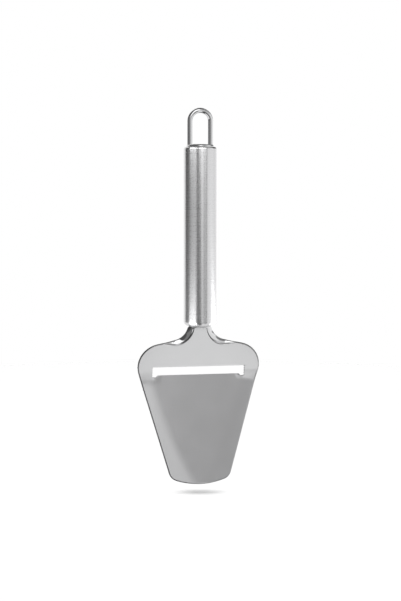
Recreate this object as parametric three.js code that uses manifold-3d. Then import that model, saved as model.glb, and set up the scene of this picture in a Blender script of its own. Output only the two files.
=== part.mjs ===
// Cheese slicer of stainless steel: a pressed trowel blade with a cutting slot, a hollow round
// handle closed by a disc at each end, and a wire loop to hang it by.
// Millimetres, +Z up. The slicer hangs upright by its loop: the handle's axis is the Z axis, the
// face that a slice slides over looks towards -Y, and the origin is where a hook bears, at the
// inner top of the loop.

import * as THREE from 'three';
import { mergeVertices } from 'three/addons/utils/BufferGeometryUtils.js';
import Module from 'manifold-3d';

// Hanging loop
const WIRE_DIAMETER = 3.1;
const LOOP_LEG_LENGTH = 13.3;
const LAND_OUTSIDE_LEG = 0.25;
const LEG_PAST_WELD = 0.8;

// Handle
const TUBE_DIAMETER = 19;
const TUBE_WALL = 0.8;
const TUBE_LENGTH = 102.9;
const REAR_DISC_ROUND = 0.3;
const FRONT_DISC_ROUND = 1.8;
const REAR_DISC_PROUD = 1.4;
const DISC_SKIRT = 2.2;
const REAR_DISC_EDGE_RADIUS = 1.2;
const FRONT_DISC_EDGE_RADIUS = 0.4;

// Neck and tang of the blade
const SHEET_THICKNESS = 1.2;
const PLATE_FRONT_Y = -2.3;
const TANG_WIDTH = 5;
const TANG_LENGTH = 20;
const NECK_BEND_START = 0.7;
const NECK_BEND_LENGTH = 1.6;
const NECK_LEAN = THREE.MathUtils.degToRad(13);
const NECK_WIDTH = 13.8;
const NECK_LENGTH = 7;
const NECK_FILLET_RADIUS = 9.3;
const NECK_FLAT_WIDTH = 8.1;
const FOLD_RADIUS = 11.8;
const ROLL_START = 0.6;
const ROLL_WIDTH = 3.3;
const FLANGE_ANGLE_AT_NECK = THREE.MathUtils.degToRad(68);
const FLANGE_ANGLE_AT_SHOULDER = THREE.MathUtils.degToRad(36);

// Blade outline, measured along the sheet from the mouth of the handle
const SHOULDER_DROP = THREE.MathUtils.degToRad(12);
const SHOULDER_FILLET_RADIUS = 14.1;
const BLADE_WIDTH_AT_LIP = 70.3;
const BLADE_WIDTH_AT_TIP = 33.1;
const LIP_DISTANCE = 29.9;
const LOWER_PLATE_LENGTH = 64.1;
const TIP_RADIUS = 45;
const TIP_CORNER_RADIUS = 6.5;

// Cutting slot
const RAIL_WIDTH = 7.75;
const SLOT_OPENING = 5.35;
const SLOT_CORNER_RADIUS = 0.8;
const NOTCH_WIDTH = 2.5;
const NOTCH_DEPTH = 1.4;
const LIP_CORNER_RADIUS = 1.3;
const LIP_BLEND_WIDTH = 6;
const LIP_BEVEL_WIDTH = 2.6;
const LIP_EDGE_THICKNESS = 0.25;

// Bend at the slot, and the side margins of the lower plate, which turn a little to the back
const BEND_ANGLE = THREE.MathUtils.degToRad(19.5);
const BEND_LENGTH = 9;
const BEND_START_ABOVE_LIP = 3;
const MARGIN_WIDTH_AT_LIP = 8.4;
const MARGIN_WIDTH_AT_TIP = 16;
const MARGIN_FLARE = 2.5;
const MARGIN_ROLL = 6.5;
const MARGIN_TURN = THREE.MathUtils.degToRad(3.1);
const MARGIN_START_ABOVE_LIP = 1;
const MARGIN_FADE = 9;

// Welds inside the handle
const WELD_LEG = 1.4;

// Clearances between neighbouring pieces
const FIT_GAP = 0.2;
const BUTT_GAP = 0.3;

// Fineness of the facets
const ROUND_SEGMENTS = 40;
const HOLE_SEGMENTS = 20;
const WIRE_HALF_SIDES = 7;
const LOOP_STEPS = 44;
const ROLL_DIVISIONS = 2;
const CORNER_DIVISIONS = 4;
const TIP_DIVISIONS = 12;
const NECK_ROWS = 10;
const SHOULDER_SLOPE_ROWS = 5;
const SHOULDER_ROUND_ROWS = 7;
const RAIL_ROWS = 2;
const BEND_ROWS = 6;
const LOWER_PLATE_ROWS = 4;
const TIP_ROWS = 4;

// Shares of the half width at which the sheet has its lines, closer together along the fold
const HALF_SHARES = [0, 0.26, 0.38, 0.46, 0.53, 0.6, 0.67, 0.75, 0.83, 0.92, 1];

// How far a cutter reaches past what it cuts, and the step that a slope is measured over
const CUT_MARGIN = 10;
const CUT_SLACK = 0.1;
const SLOPE_STEP = 0.01;

// Places worked out from the sizes above
const WIRE_RADIUS = WIRE_DIAMETER / 2;
const TUBE_RADIUS = TUBE_DIAMETER / 2;
const BORE_RADIUS = TUBE_RADIUS - TUBE_WALL;
const REAR_ROLL_RADIUS = REAR_DISC_ROUND + FIT_GAP + TUBE_WALL;
const FRONT_ROLL_RADIUS = FRONT_DISC_ROUND + FIT_GAP + TUBE_WALL;
const LEG_HOLE_RADIUS = WIRE_RADIUS + FIT_GAP;
const REAR_FACE_RADIUS = TUBE_RADIUS - REAR_ROLL_RADIUS - FIT_GAP;
const LOOP_BEND_RADIUS = REAR_FACE_RADIUS - LAND_OUTSIDE_LEG - LEG_HOLE_RADIUS;
const LOOP_CENTRE_Z = WIRE_RADIUS - LOOP_BEND_RADIUS;
const REAR_FACE_Z = LOOP_CENTRE_Z - LOOP_LEG_LENGTH;
const TUBE_REAR_Z = REAR_FACE_Z - REAR_DISC_PROUD;
const LOOP_WELD_Z = TUBE_REAR_Z - REAR_ROLL_RADIUS - DISC_SKIRT - FIT_GAP;
const MOUTH_Z = TUBE_REAR_Z - TUBE_LENGTH;
const TANG_WELD_Z = MOUTH_Z + FRONT_ROLL_RADIUS + DISC_SKIRT + FIT_GAP;
const TANG_MIDDLE_Y = PLATE_FRONT_Y + SHEET_THICKNESS / 2;
const SLOT_WIDTH = BLADE_WIDTH_AT_LIP - 2 * RAIL_WIDTH;
const LIP_HALF = SLOT_WIDTH / 2 - NOTCH_WIDTH;
const TIP_DISTANCE = LIP_DISTANCE + LOWER_PLATE_LENGTH;
const SIDE_TAPER = Math.atan2(BLADE_WIDTH_AT_LIP - BLADE_WIDTH_AT_TIP, 2 * LOWER_PLATE_LENGTH);
const BEND_START = LIP_DISTANCE - BEND_START_ABOVE_LIP;
const BEND_END = BEND_START + BEND_LENGTH;
const BEND_RADIUS = BEND_LENGTH / BEND_ANGLE;
const QUARTER = Math.PI / 2;

const wasm = await Module();
wasm.setup();

// Solids: a geometry as a closed body, and a body back as a geometry
function toSolid(geometry) {
  const bare = geometry.index ? geometry.clone() : geometry;
  bare.deleteAttribute('normal');
  bare.deleteAttribute('uv');
  const merged = mergeVertices(bare);
  return new wasm.Manifold(new wasm.Mesh({
    numProp: 3,
    vertProperties: new Float32Array(merged.attributes.position.array),
    triVerts: new Uint32Array(merged.index.array),
  }));
}

function toGeometry(solid) {
  const mesh = solid.getMesh();
  const geometry = new THREE.BufferGeometry();
  geometry.setAttribute('position', new THREE.BufferAttribute(mesh.vertProperties, 3));
  geometry.setIndex(new THREE.BufferAttribute(mesh.triVerts, 1));
  geometry.computeVertexNormals();
  return geometry;
}

// A profile of radius and height, turned about the Z axis
function turned(profile) {
  const points = profile.getPoints(ROLL_DIVISIONS);
  return toGeometry(toSolid(new THREE.LatheGeometry(points, ROUND_SEGMENTS).rotateX(QUARTER)));
}

// A flat shape drawn in X and Z, given a depth along Y about the middle plane
function acrossY(shape, depth, middleY) {
  const options = { depth, bevelEnabled: false, curveSegments: CORNER_DIVISIONS };
  return new THREE.ExtrudeGeometry(shape, options)
    .rotateX(QUARTER)
    .translate(0, middleY + depth / 2, 0);
}

// Handle tube: thin wall, both ends rolled inwards
function handleTubeGeometry() {
  const rearLip = TUBE_RADIUS - REAR_ROLL_RADIUS;
  const frontLip = TUBE_RADIUS - FRONT_ROLL_RADIUS;
  const rearRollZ = TUBE_REAR_Z - REAR_ROLL_RADIUS;
  const frontRollZ = MOUTH_Z + FRONT_ROLL_RADIUS;
  const profile = new THREE.Path();
  profile.moveTo(frontLip, MOUTH_Z);
  profile.absarc(frontLip, frontRollZ, FRONT_ROLL_RADIUS, -QUARTER, 0, false);
  profile.absarc(rearLip, rearRollZ, REAR_ROLL_RADIUS, 0, QUARTER, false);
  profile.absarc(rearLip, rearRollZ, REAR_ROLL_RADIUS - TUBE_WALL, QUARTER, 0, true);
  profile.absarc(frontLip, frontRollZ, FRONT_ROLL_RADIUS - TUBE_WALL, 0, -QUARTER, true);
  profile.lineTo(frontLip, MOUTH_Z);
  return turned(profile);
}

// End disc: its face fills the mouth of the rolled end, and its skirt is caught behind the roll.
// Heights are measured outwards from the tube's end, so the same profile serves both ends.
function discProfile(round, proud, edgeRadius) {
  const rollRadius = round + FIT_GAP + TUBE_WALL;
  const lip = TUBE_RADIUS - rollRadius;
  const face = lip - FIT_GAP;
  const seat = -TUBE_WALL - FIT_GAP;
  const edge = Math.min(edgeRadius, proud - seat, face);
  const profile = new THREE.Path();
  profile.moveTo(0, -rollRadius - DISC_SKIRT);
  profile.lineTo(BORE_RADIUS - FIT_GAP, -rollRadius - DISC_SKIRT);
  profile.absarc(lip, -rollRadius, round, 0, QUARTER, false);
  profile.lineTo(face, seat);
  profile.absarc(face - edge, proud - edge, edge, 0, QUARTER, false);
  profile.lineTo(0, proud);
  return profile;
}

function rearDiscGeometry() {
  const profile = discProfile(REAR_DISC_ROUND, REAR_DISC_PROUD, REAR_DISC_EDGE_RADIUS);
  const disc = toSolid(turned(profile).translate(0, 0, TUBE_REAR_Z));
  return toGeometry(disc.subtract(legHole(-1)).subtract(legHole(1)));
}

function legHole(side) {
  const depth = 2 * (DISC_SKIRT + REAR_ROLL_RADIUS + REAR_DISC_PROUD + CUT_MARGIN);
  const hole = new THREE.CylinderGeometry(LEG_HOLE_RADIUS, LEG_HOLE_RADIUS, depth, HOLE_SEGMENTS);
  return toSolid(hole.rotateX(QUARTER).translate(side * LOOP_BEND_RADIUS, 0, REAR_FACE_Z));
}

function frontDiscGeometry() {
  const profile = discProfile(FRONT_DISC_ROUND, 0, FRONT_DISC_EDGE_RADIUS);
  const disc = toSolid(turned(profile).rotateX(Math.PI).translate(0, 0, MOUTH_Z));
  const depth = 2 * (DISC_SKIRT + FRONT_ROLL_RADIUS + CUT_MARGIN);
  const slit = new THREE.BoxGeometry(TANG_WIDTH + 2 * FIT_GAP, SHEET_THICKNESS + 2 * FIT_GAP, depth);
  return toGeometry(disc.subtract(toSolid(slit.translate(0, TANG_MIDDLE_Y, MOUTH_Z))));
}

// Hanging loop: round wire bent into a narrow arch whose two legs pass through the rear disc
function hangingLoopGeometry() {
  const legEnd = LOOP_WELD_Z - WELD_LEG - LEG_PAST_WELD;
  const arch = new THREE.CurvePath();
  const leg = (side, z) => new THREE.Vector3(side * LOOP_BEND_RADIUS, 0, z);
  arch.add(new THREE.LineCurve3(leg(-1, legEnd), leg(-1, LOOP_CENTRE_Z)));
  arch.add(new ArchCurve(LOOP_BEND_RADIUS, LOOP_CENTRE_Z));
  arch.add(new THREE.LineCurve3(leg(1, LOOP_CENTRE_Z), leg(1, legEnd)));
  const section = new THREE.Shape().absarc(0, 0, WIRE_RADIUS, 0, 2 * Math.PI, false);
  return toGeometry(toSolid(new THREE.ExtrudeGeometry(section, {
    extrudePath: arch,
    steps: LOOP_STEPS,
    curveSegments: WIRE_HALF_SIDES,
    bevelEnabled: false,
  })));
}

class ArchCurve extends THREE.Curve {
  constructor(radius, centreZ) {
    super();
    this.radius = radius;
    this.centreZ = centreZ;
  }

  getPoint(t, target = new THREE.Vector3()) {
    const angle = Math.PI * (1 - t);
    return target.set(this.radius * Math.cos(angle), 0, this.centreZ + this.radius * Math.sin(angle));
  }
}

// Fillet between the lines start-corner and corner-end, no longer than either line
function fillet(start, corner, end, radius) {
  const towardsStart = start.clone().sub(corner);
  const towardsEnd = end.clone().sub(corner);
  const halfAngle = towardsStart.angleTo(towardsEnd) / 2;
  const reach = Math.min(radius / Math.tan(halfAngle), towardsStart.length(), towardsEnd.length());
  const size = reach * Math.tan(halfAngle);
  const middle = towardsStart.clone().normalize().add(towardsEnd.clone().normalize()).normalize();
  return {
    radius: size,
    from: corner.clone().addScaledVector(towardsStart.normalize(), reach),
    to: corner.clone().addScaledVector(towardsEnd.normalize(), reach),
    centre: corner.clone().addScaledVector(middle, size / Math.sin(halfAngle)),
  };
}

// Half outline of the blade as points of half width and distance from the mouth
function halfOutline() {
  const drop = Math.tan(SHOULDER_DROP);
  const taper = Math.tan(SIDE_TAPER);
  const neckHalf = NECK_WIDTH / 2;
  const lipHalf = BLADE_WIDTH_AT_LIP / 2;
  const sideAt = (distance) => lipHalf - (distance - LIP_DISTANCE) * taper;
  const above = new THREE.Vector2(neckHalf, -NECK_FILLET_RADIUS);
  const neck = new THREE.Vector2(neckHalf, NECK_LENGTH);
  const shoulderX = (lipHalf + taper * (LIP_DISTANCE - NECK_LENGTH + drop * neckHalf)) / (1 + taper * drop);
  const shoulder = new THREE.Vector2(shoulderX, NECK_LENGTH + drop * (shoulderX - neckHalf));
  const below = new THREE.Vector2(sideAt(TIP_DISTANCE + CUT_MARGIN), TIP_DISTANCE + CUT_MARGIN);
  const neckFillet = fillet(above, neck, shoulder, NECK_FILLET_RADIUS);
  const shoulderFillet = fillet(neckFillet.to, shoulder, below, SHOULDER_FILLET_RADIUS);
  return { neckFillet, shoulderFillet, sideAt, drop, neck };
}

const OUTLINE = halfOutline();

function halfWidth(distance) {
  const { neckFillet, shoulderFillet, sideAt, drop, neck } = OUTLINE;
  if (distance <= neckFillet.from.y) return neck.x;
  if (distance < neckFillet.to.y) {
    const rise = distance - neckFillet.centre.y;
    return neckFillet.centre.x - Math.sqrt(neckFillet.radius ** 2 - rise ** 2);
  }
  if (distance < shoulderFillet.from.y) return neck.x + (distance - neck.y) / drop;
  if (distance < shoulderFillet.to.y) {
    const rise = distance - shoulderFillet.centre.y;
    return shoulderFillet.centre.x + Math.sqrt(shoulderFillet.radius ** 2 - rise ** 2);
  }
  return sideAt(distance);
}

// Shape of the pressed sheet: how far its face is set back, square to the bent plate.
// The flanges of the neck roll over evenly from the fold to the rim.
function flangeSetBack(x, distance) {
  const centreX = NECK_FLAT_WIDTH / 2 + FOLD_RADIUS;
  const across = centreX - Math.abs(x);
  const around = Math.atan2(Math.max(distance, 0), across);
  const past = distance > 0 ? FOLD_RADIUS - Math.hypot(across, distance) : FOLD_RADIUS - across;
  const share = THREE.MathUtils.clamp(around / QUARTER, 0, 1);
  const angle = THREE.MathUtils.lerp(FLANGE_ANGLE_AT_NECK, FLANGE_ANGLE_AT_SHOULDER, share);
  const rolled = THREE.MathUtils.clamp(past + ROLL_START, 0, ROLL_WIDTH);
  const straight = Math.max(past + ROLL_START - ROLL_WIDTH, 0);
  return Math.tan(angle) * (rolled ** 2 / (2 * ROLL_WIDTH) + straight);
}

// The lip runs straight up from the lower plate, while the rails beside it follow the bend
function lipSetBack(x, distance) {
  if (distance >= BEND_END) return 0;
  const slotTop = LIP_DISTANCE - SLOT_OPENING;
  const slotEnd = SLOT_WIDTH / 2;
  const onLip = 1 - THREE.MathUtils.smoothstep(Math.abs(x), slotEnd - LIP_BLEND_WIDTH, slotEnd);
  const fade = THREE.MathUtils.clamp((distance - slotTop) / SLOT_OPENING, 0, 1);
  return onLip * fade * (BEND_END - Math.max(distance, LIP_DISTANCE)) ** 2 / (2 * BEND_RADIUS);
}

function marginSetBack(x, distance) {
  const start = LIP_DISTANCE - MARGIN_START_ABOVE_LIP;
  const fade = THREE.MathUtils.smoothstep(distance, start, start + MARGIN_FADE);
  const share = THREE.MathUtils.clamp((distance - LIP_DISTANCE) / LOWER_PLATE_LENGTH, 0, 1);
  const flare = share ** MARGIN_FLARE;
  const width = THREE.MathUtils.lerp(MARGIN_WIDTH_AT_LIP, MARGIN_WIDTH_AT_TIP, flare);
  const fromSide = (OUTLINE.sideAt(distance) - Math.abs(x)) * Math.cos(SIDE_TAPER);
  const reach = Math.max(width - fromSide, 0);
  const rolled = Math.min(reach, MARGIN_ROLL);
  return fade * Math.tan(MARGIN_TURN) * (rolled ** 2 / (2 * MARGIN_ROLL) + reach - rolled);
}

// Side line of the sheet: straight out of the handle, leaning back along the neck, and bent
// towards the front below the slot. Each bend is [start, length, turn towards the front].
const BENDS = [
  [NECK_BEND_START, NECK_BEND_LENGTH, -NECK_LEAN],
  [BEND_START, BEND_LENGTH, BEND_ANGLE],
];

function bent(distance) {
  let angle = 0;
  let travelled = 0;
  let y = PLATE_FRONT_Y;
  let z = MOUTH_Z;
  const advance = (length) => {
    y -= length * Math.sin(angle);
    z -= length * Math.cos(angle);
  };
  for (const [start, length, turn] of BENDS) {
    advance(THREE.MathUtils.clamp(distance, travelled, start) - travelled);
    const part = THREE.MathUtils.clamp((distance - start) / length, 0, 1);
    const next = angle + turn * part;
    y += length / turn * (Math.cos(next) - Math.cos(angle));
    z -= length / turn * (Math.sin(next) - Math.sin(angle));
    angle = next;
    travelled = start + length;
  }
  advance(Math.max(distance - travelled, 0));
  return { y, z, back: new THREE.Vector3(0, Math.cos(angle), -Math.sin(angle)) };
}

function facePoint(x, distance) {
  const line = bent(distance);
  const setBack = flangeSetBack(x, distance) + lipSetBack(x, distance) + marginSetBack(x, distance);
  return new THREE.Vector3(x, line.y, line.z).addScaledVector(line.back, setBack);
}

function backOf(x, distance) {
  const across = facePoint(x + SLOPE_STEP, distance).sub(facePoint(x - SLOPE_STEP, distance));
  const down = facePoint(x, distance + SLOPE_STEP).sub(facePoint(x, distance - SLOPE_STEP));
  const back = across.cross(down).normalize();
  return facePoint(x, distance).addScaledVector(back, SHEET_THICKNESS);
}

// Rows of the sheet, closer together where its outline or its bend turns
function sheetRows() {
  const { neckFillet, shoulderFillet } = OUTLINE;
  const widest = Math.min(shoulderFillet.centre.y, BEND_START);
  const tipStart = TIP_DISTANCE - MARGIN_WIDTH_AT_TIP;
  const stretches = [
    [BUTT_GAP, neckFillet.to.y, NECK_ROWS],
    [neckFillet.to.y, shoulderFillet.from.y, SHOULDER_SLOPE_ROWS],
    [shoulderFillet.from.y, widest, SHOULDER_ROUND_ROWS],
    [widest, BEND_START, RAIL_ROWS],
    [BEND_START, BEND_END, BEND_ROWS],
    [BEND_END, tipStart, LOWER_PLATE_ROWS],
    [tipStart, TIP_DISTANCE + TIP_CORNER_RADIUS, TIP_ROWS],
  ];
  const rows = [BUTT_GAP];
  for (const [from, to, count] of stretches.filter(([low, high]) => high > low)) {
    for (let i = 1; i <= count; i += 1) rows.push(from + (to - from) * i / count);
  }
  return rows;
}

// The pressed sheet before it is cut: a front and a back layer of points, joined round the edge
function pressedSheet() {
  const rows = sheetRows();
  const shares = [...HALF_SHARES.slice(1).reverse().map((share) => -share), ...HALF_SHARES];
  const columns = shares.length;
  const positions = [];
  for (const place of [facePoint, backOf]) {
    for (const distance of rows) {
      const half = halfWidth(distance);
      for (const share of shares) positions.push(...place(share * half, distance).toArray());
    }
  }
  const layer = rows.length * columns;
  const at = (side, row, column) => side * layer + row * columns + column;
  const index = [];
  const quad = (a, b, c, d) => index.push(a, b, c, a, c, d);
  for (let i = 0; i + 1 < rows.length; i += 1) {
    for (let j = 0; j + 1 < columns; j += 1) {
      quad(at(0, i, j), at(0, i + 1, j), at(0, i + 1, j + 1), at(0, i, j + 1));
      quad(at(1, i, j), at(1, i, j + 1), at(1, i + 1, j + 1), at(1, i + 1, j));
    }
    quad(at(0, i, 0), at(1, i, 0), at(1, i + 1, 0), at(0, i + 1, 0));
    const last = columns - 1;
    quad(at(0, i, last), at(0, i + 1, last), at(1, i + 1, last), at(1, i, last));
  }
  const bottom = rows.length - 1;
  for (let j = 0; j + 1 < columns; j += 1) {
    quad(at(0, 0, j), at(0, 0, j + 1), at(1, 0, j + 1), at(1, 0, j));
    quad(at(0, bottom, j), at(1, bottom, j), at(1, bottom, j + 1), at(0, bottom, j + 1));
  }
  const geometry = new THREE.BufferGeometry();
  geometry.setAttribute('position', new THREE.Float32BufferAttribute(positions, 3));
  geometry.setIndex(index);
  return geometry;
}

// Slot: a long opening whose lower edge is the cutting lip, with a relief notch at each end
function slotCutter() {
  const top = bent(LIP_DISTANCE - SLOT_OPENING).z;
  const lip = bent(LIP_DISTANCE).z;
  const floor = lip - NOTCH_DEPTH;
  const end = SLOT_WIDTH / 2;
  const round = Math.min(SLOT_CORNER_RADIUS, NOTCH_WIDTH / 2);
  const ease = Math.min(LIP_CORNER_RADIUS, NOTCH_DEPTH);
  const shape = new THREE.Shape();
  shape.moveTo(-end + round, top);
  shape.absarc(-end + round, top - round, round, QUARTER, Math.PI, false);
  shape.absarc(-end + round, floor + round, round, Math.PI, Math.PI + QUARTER, false);
  shape.lineTo(-LIP_HALF, floor);
  shape.absarc(-LIP_HALF + ease, lip - ease, ease, Math.PI, QUARTER, true);
  shape.absarc(LIP_HALF - ease, lip - ease, ease, QUARTER, 0, true);
  shape.lineTo(LIP_HALF, floor);
  shape.absarc(end - round, floor + round, round, -QUARTER, 0, false);
  shape.absarc(end - round, top - round, round, 0, QUARTER, false);
  return toSolid(acrossY(shape, 2 * CUT_MARGIN, bent(LIP_DISTANCE).y));
}

// Frame of the lower plate: X across, Y up the plate, Z out of its face, zero at the bend's end
function onLowerPlate(geometry) {
  const end = bent(BEND_END);
  const face = end.back.clone().negate();
  const across = new THREE.Vector3(1, 0, 0);
  const up = face.clone().cross(across);
  const frame = new THREE.Matrix4().makeBasis(across, up, face);
  return geometry.applyMatrix4(frame.setPosition(0, end.y, end.z));
}

// Tip: everything past the rounded corners and the shallow arc of the free end is cut away
function tipCutter() {
  const onPlate = (distance) => BEND_END - distance;
  const centre = TIP_DISTANCE - TIP_RADIUS;
  const taper = Math.tan(SIDE_TAPER);
  const corner = TIP_CORNER_RADIUS;
  const inset = OUTLINE.sideAt(centre) - corner / Math.cos(SIDE_TAPER);
  const reach = TIP_RADIUS - corner;
  const square = 1 + taper ** 2;
  const past = (inset * taper + Math.sqrt(reach ** 2 * square - inset ** 2)) / square;
  const cornerX = inset - past * taper;
  const cornerY = onPlate(centre + past);
  const downwards = Math.atan2(past, cornerX);
  const wide = OUTLINE.sideAt(LIP_DISTANCE) + CUT_MARGIN;
  const low = onPlate(TIP_DISTANCE + 2 * CUT_MARGIN);
  const sideX = cornerX + corner * Math.cos(SIDE_TAPER);
  const sideY = cornerY - corner * Math.sin(SIDE_TAPER);
  const shape = new THREE.Shape();
  shape.moveTo(-wide, low);
  shape.lineTo(wide, low);
  shape.lineTo(wide, sideY);
  shape.lineTo(sideX + CUT_SLACK, sideY);
  shape.absarc(cornerX, cornerY, corner, -SIDE_TAPER, -downwards, true);
  shape.absarc(0, onPlate(centre), TIP_RADIUS, -downwards, downwards - Math.PI, true);
  shape.absarc(-cornerX, cornerY, corner, downwards - Math.PI, SIDE_TAPER - Math.PI, true);
  shape.lineTo(-sideX - CUT_SLACK, sideY);
  shape.lineTo(-wide, sideY);
  const options = { depth: 2 * CUT_MARGIN, bevelEnabled: false, curveSegments: TIP_DIVISIONS };
  return toSolid(onLowerPlate(new THREE.ExtrudeGeometry(shape, options).translate(0, 0, -CUT_MARGIN)));
}

// The lip is ground to an edge from the back
function bevelCutter() {
  const lip = BEND_END - LIP_DISTANCE;
  const slope = (SHEET_THICKNESS - LIP_EDGE_THICKNESS) / LIP_BEVEL_WIDTH;
  const above = SLOT_OPENING / 2;
  const wedge = new THREE.Shape();
  wedge.moveTo(lip + above, -LIP_EDGE_THICKNESS + slope * above);
  wedge.lineTo(lip - LIP_BEVEL_WIDTH, -SHEET_THICKNESS);
  wedge.lineTo(lip - LIP_BEVEL_WIDTH, -CUT_MARGIN);
  wedge.lineTo(lip + above, -CUT_MARGIN);
  const options = { depth: 2 * LIP_HALF, bevelEnabled: false };
  const prism = new THREE.ExtrudeGeometry(wedge, options).translate(0, 0, -LIP_HALF);
  const upToX = new THREE.Matrix4().makeBasis(
    new THREE.Vector3(0, 1, 0), new THREE.Vector3(0, 0, 1), new THREE.Vector3(1, 0, 0));
  return toSolid(onLowerPlate(prism.applyMatrix4(upToX)));
}

function bladeGeometry() {
  const tang = new THREE.BoxGeometry(TANG_WIDTH, SHEET_THICKNESS, TANG_LENGTH + NECK_BEND_START);
  tang.translate(0, TANG_MIDDLE_Y, MOUTH_Z + (TANG_LENGTH - NECK_BEND_START) / 2);
  return toGeometry(toSolid(pressedSheet())
    .add(toSolid(tang))
    .subtract(slotCutter())
    .subtract(bevelCutter())
    .subtract(tipCutter()));
}

// Weld bead round the tang, on the inner side of the front disc
function tangWeldGeometry() {
  const halfX = TANG_WIDTH / 2 + FIT_GAP;
  const halfY = SHEET_THICKNESS / 2 + FIT_GAP;
  const outer = roundedRectangle(halfX + WELD_LEG, halfY + WELD_LEG, WELD_LEG);
  outer.holes.push(roundedRectangle(halfX, halfY, FIT_GAP / 2));
  const options = { depth: WELD_LEG, bevelEnabled: false, curveSegments: CORNER_DIVISIONS };
  const bead = new THREE.ExtrudeGeometry(outer, options).translate(0, TANG_MIDDLE_Y, TANG_WELD_Z);
  return toGeometry(toSolid(bead));
}

function roundedRectangle(halfX, halfY, radius) {
  const shape = new THREE.Shape();
  shape.absarc(halfX - radius, halfY - radius, radius, 0, QUARTER, false);
  shape.absarc(radius - halfX, halfY - radius, radius, QUARTER, Math.PI, false);
  shape.absarc(radius - halfX, radius - halfY, radius, Math.PI, Math.PI + QUARTER, false);
  shape.absarc(halfX - radius, radius - halfY, radius, -QUARTER, 0, false);
  return shape;
}

// Weld bead round a leg of the loop, on the inner side of the rear disc
function loopWeldGeometry() {
  const room = BORE_RADIUS - FIT_GAP - LOOP_BEND_RADIUS - LEG_HOLE_RADIUS;
  const outer = LEG_HOLE_RADIUS + Math.min(WELD_LEG, room);
  const end = LOOP_WELD_Z - WELD_LEG;
  const profile = new THREE.Path();
  profile.moveTo(LEG_HOLE_RADIUS, LOOP_WELD_Z);
  profile.lineTo(LEG_HOLE_RADIUS, end);
  profile.quadraticCurveTo(outer, end, outer, LOOP_WELD_Z);
  profile.lineTo(LEG_HOLE_RADIUS, LOOP_WELD_Z);
  return turned(profile);
}

// Finishes
function steel(color, roughness) {
  return new THREE.MeshStandardMaterial({ color, roughness, metalness: 1 });
}

const SATIN_TUBE = steel(0xc4c6c8, 0.36);
const BRUSHED_SHEET = steel(0xcacccd, 0.28);
const POLISHED_WIRE = steel(0xd2d3d4, 0.14);
const TURNED_DISC = steel(0xc8cacb, 0.25);
const WELD_METAL = steel(0x8f9091, 0.55);

function piece(name, geometry, material) {
  const mesh = new THREE.Mesh(geometry, material);
  mesh.name = name;
  return mesh;
}

const slicer = new THREE.Group();
slicer.add(
  piece('blade', bladeGeometry(), BRUSHED_SHEET),
  piece('front_disc', frontDiscGeometry(), TURNED_DISC),
  piece('tang_weld', tangWeldGeometry(), WELD_METAL),
  piece('handle_tube', handleTubeGeometry(), SATIN_TUBE),
  piece('rear_disc', rearDiscGeometry(), TURNED_DISC),
  piece('hanging_loop', hangingLoopGeometry(), POLISHED_WIRE),
);
for (const [name, side] of [['loop_weld_left', -1], ['loop_weld_right', 1]]) {
  const weld = piece(name, loopWeldGeometry(), WELD_METAL);
  weld.position.x = side * LOOP_BEND_RADIUS;
  slicer.add(weld);
}

export default slicer;
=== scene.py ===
import math

import bmesh
import bpy
from mathutils import Matrix, Vector, kdtree
from mathutils.geometry import delaunay_2d_cdt


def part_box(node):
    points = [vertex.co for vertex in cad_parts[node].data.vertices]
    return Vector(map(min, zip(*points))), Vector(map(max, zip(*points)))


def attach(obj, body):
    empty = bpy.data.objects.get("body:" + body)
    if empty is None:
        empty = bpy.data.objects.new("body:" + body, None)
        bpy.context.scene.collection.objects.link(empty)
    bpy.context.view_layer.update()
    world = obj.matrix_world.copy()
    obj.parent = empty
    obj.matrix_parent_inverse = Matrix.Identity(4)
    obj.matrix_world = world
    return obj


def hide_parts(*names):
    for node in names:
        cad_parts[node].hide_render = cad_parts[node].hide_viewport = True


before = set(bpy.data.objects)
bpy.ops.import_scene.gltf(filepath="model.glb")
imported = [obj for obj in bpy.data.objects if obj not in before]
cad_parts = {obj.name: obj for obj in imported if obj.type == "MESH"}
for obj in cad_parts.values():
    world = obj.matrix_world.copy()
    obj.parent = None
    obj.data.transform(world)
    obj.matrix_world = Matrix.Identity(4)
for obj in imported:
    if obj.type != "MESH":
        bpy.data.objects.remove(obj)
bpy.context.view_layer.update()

MM = 0.001
QUARTER = math.pi / 2

# Places taken from the solids of the slicer
TUBE_LOW, TUBE_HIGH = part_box("handle_tube")
REAR_DISC_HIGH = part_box("rear_disc")[1]
LOOP_LOW, LOOP_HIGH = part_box("hanging_loop")
BLADE_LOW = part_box("blade")[0]
TUBE_REAR_Z = TUBE_HIGH.z
MOUTH_Z = TUBE_LOW.z
TUBE_RADIUS = TUBE_HIGH.x

# Handle and end discs
FIT_GAP = 0.2 * MM
TUBE_WALL = 0.8 * MM
LIP_ROUND = 0.15 * MM
REAR_DISC_ROUND = 0.3 * MM
FRONT_DISC_ROUND = 1.8 * MM
REAR_DISC_EDGE = 1.2 * MM
FRONT_DISC_EDGE = 0.4 * MM
DISC_SKIRT = 2.2 * MM
REAR_DISC_PROUD = REAR_DISC_HIGH.z - TUBE_REAR_Z
REAR_ROLL_RADIUS = REAR_DISC_ROUND + FIT_GAP + TUBE_WALL
FRONT_ROLL_RADIUS = FRONT_DISC_ROUND + FIT_GAP + TUBE_WALL
BORE_RADIUS = TUBE_RADIUS - TUBE_WALL

# Hanging loop
LOOP_BEND_RADIUS = 6 * MM
WIRE_RADIUS = LOOP_HIGH.x - LOOP_BEND_RADIUS
LEG_HOLE_RADIUS = WIRE_RADIUS + FIT_GAP

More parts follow.
